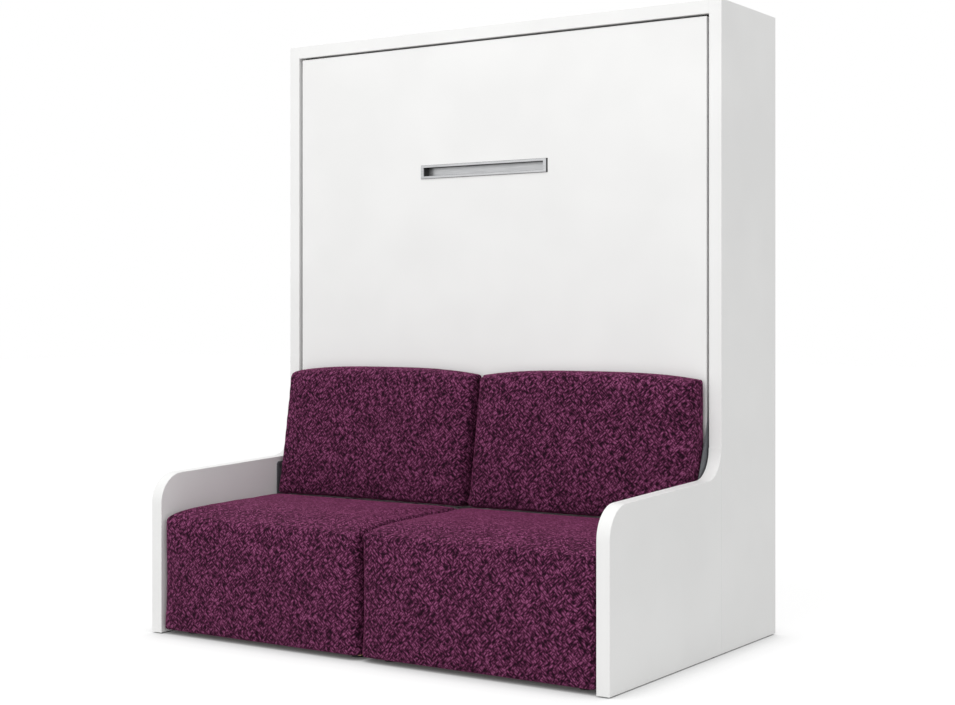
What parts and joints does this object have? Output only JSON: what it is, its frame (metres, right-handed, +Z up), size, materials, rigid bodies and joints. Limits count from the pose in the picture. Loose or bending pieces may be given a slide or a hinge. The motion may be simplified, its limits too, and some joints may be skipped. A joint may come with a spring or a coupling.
{
  "type": "wall bed with sofa",
  "caption": "Double bed that folds up into a white cabinet, with a two-seat upholstered sofa and arm panels standing in front of it.",
  "frame": {"origin": "on the floor, in the middle of the object's footprint", "axes": "+Z up, +Y towards the wall behind the cabinet, +X to the right of someone facing the sofa"},
  "size_m": [1.79, 1.155, 2.1],
  "materials": {
    "white_lacquer": "white satin lacquer on board",
    "white_board": "white melamine-faced board",
    "grey_steel": "dark grey powder coat",
    "zinc_steel": "zinc plated",
    "bronze": "plain bearing bronze",
    "brushed_aluminium": "brushed and anodised",
    "black_plastic": "moulded black",
    "black_rubber": "moulded rubber",
    "beech": "bent laminated beech",
    "plywood": "raw plywood",
    "plum_tweed": "two-tone plum tweed",
    "mattress_ticking": "knitted ticking",
    "black_webbing": "woven elastic webbing",
    "strut_black": "black painted tube",
    "strut_chrome": "hard chrome rod"
  },
  "bodies": {
    "cabinet": {"side_panel_left": "white_lacquer", "side_panel_right": "white_lacquer", "top_panel": "white_lacquer", "arm_panel_left": "white_lacquer", "arm_panel_right": "white_lacquer", "back_panel_left": "white_board", "back_panel_right": "white_board", "wall_rail": "white_board", "lower_rear_rail": "white_board", "plinth_rail": "white_board", "sofa_rail": "white_board", "pivot_plate_left": "grey_steel", "pivot_plate_right": "grey_steel", "strut_brackets": "grey_steel", "pivot_pins": "zinc_steel", "plate_screws": "zinc_steel", "seat_bolts": "zinc_steel", "arm_connectors": "zinc_steel", "back_joint_strip": "brushed_aluminium", "cabinet_glides": "black_plastic", "seat_feet": "black_plastic", "door_stops": "black_rubber", "panel_dowels": "beech", "seat_carcass_left": "plywood", "seat_carcass_right": "plywood", "seat_upholstery_left": "plum_tweed", "seat_upholstery_right": "plum_tweed"},
    "bed": {"front_panel": "white_lacquer", "handle_rim": "brushed_aluminium", "handle_tray": "black_plastic", "handle_plate": "brushed_aluminium", "bed_side_rail_left": "grey_steel", "bed_side_rail_right": "grey_steel", "bed_head_rail": "grey_steel", "bed_foot_rail": "grey_steel", "bed_centre_rail": "grey_steel", "slats": "beech", "slat_holders": "black_plastic", "mattress": "mattress_ticking", "mattress_straps": "black_webbing", "pivot_arm_left": "grey_steel", "pivot_arm_right": "grey_steel", "pivot_bushes": "bronze", "arm_spacers": "grey_steel", "arm_bolts": "zinc_steel", "panel_screws": "zinc_steel", "leg_studs": "zinc_steel", "strut_lugs": "grey_steel", "back_cushion_left": "plum_tweed", "back_cushion_right": "plum_tweed", "cushion_boards": "plywood", "hook_strips": "black_webbing"},
    "leg_left": {"leg_left": "grey_steel", "leg_foot_left": "black_plastic"},
    "leg_right": {"leg_right": "grey_steel", "leg_foot_right": "black_plastic"},
    "strut_cylinder_left": {"strut_cylinder_left": "strut_black"},
    "strut_cylinder_right": {"strut_cylinder_right": "strut_black"},
    "strut_rod_left": {"strut_rod_left": "strut_chrome"},
    "strut_rod_right": {"strut_rod_right": "strut_chrome"}
  },
  "joints": [
    {"name": "bed_fold", "type": "hinge", "parent": "cabinet", "child": "bed", "pos_m": [0, 0.0925, 0.495], "axis": [1, 0, 0], "range_deg": [0, 90]},
    {"name": "leg_left_swing", "type": "hinge", "parent": "bed", "child": "leg_left", "pos_m": [-0.8465, 0.1965, 2], "axis": [1, 0, 0], "range_deg": [-90, 0]},
    {"name": "strut_left_swing", "type": "hinge", "parent": "cabinet", "child": "strut_cylinder_left", "pos_m": [-0.8255, 0.3525, 1.01], "axis": [1, 0, 0], "range_deg": [-11.02, 0]},
    {"name": "strut_left_slide", "type": "slide", "parent": "strut_cylinder_left", "child": "strut_rod_left", "axis": [0, 0.1562, 0.9877], "range_m": [0, 0.2732]},
    {"name": "leg_right_swing", "type": "hinge", "parent": "bed", "child": "leg_right", "pos_m": [0.8465, 0.1965, 2], "axis": [1, 0, 0], "range_deg": [-90, 0]},
    {"name": "strut_right_swing", "type": "hinge", "parent": "cabinet", "child": "strut_cylinder_right", "pos_m": [0.8255, 0.3525, 1.01], "axis": [1, 0, 0], "range_deg": [-11.02, 0]},
    {"name": "strut_right_slide", "type": "slide", "parent": "strut_cylinder_right", "child": "strut_rod_right", "axis": [0, 0.1562, 0.9877], "range_m": [0, 0.2732]}
  ],
  "couplings": [
    {"joint": "leg_left_swing", "follows": "bed_fold", "ratio": -1},
    {"joint": "strut_left_swing", "follows": "bed_fold", "ratio": -0.12247},
    {"joint": "strut_left_slide", "follows": "bed_fold", "m_per_rad": 0.17385},
    {"joint": "leg_right_swing", "follows": "bed_fold", "ratio": -1},
    {"joint": "strut_right_swing", "follows": "bed_fold", "ratio": -0.12247},
    {"joint": "strut_right_slide", "follows": "bed_fold", "m_per_rad": 0.17385}
  ]
}
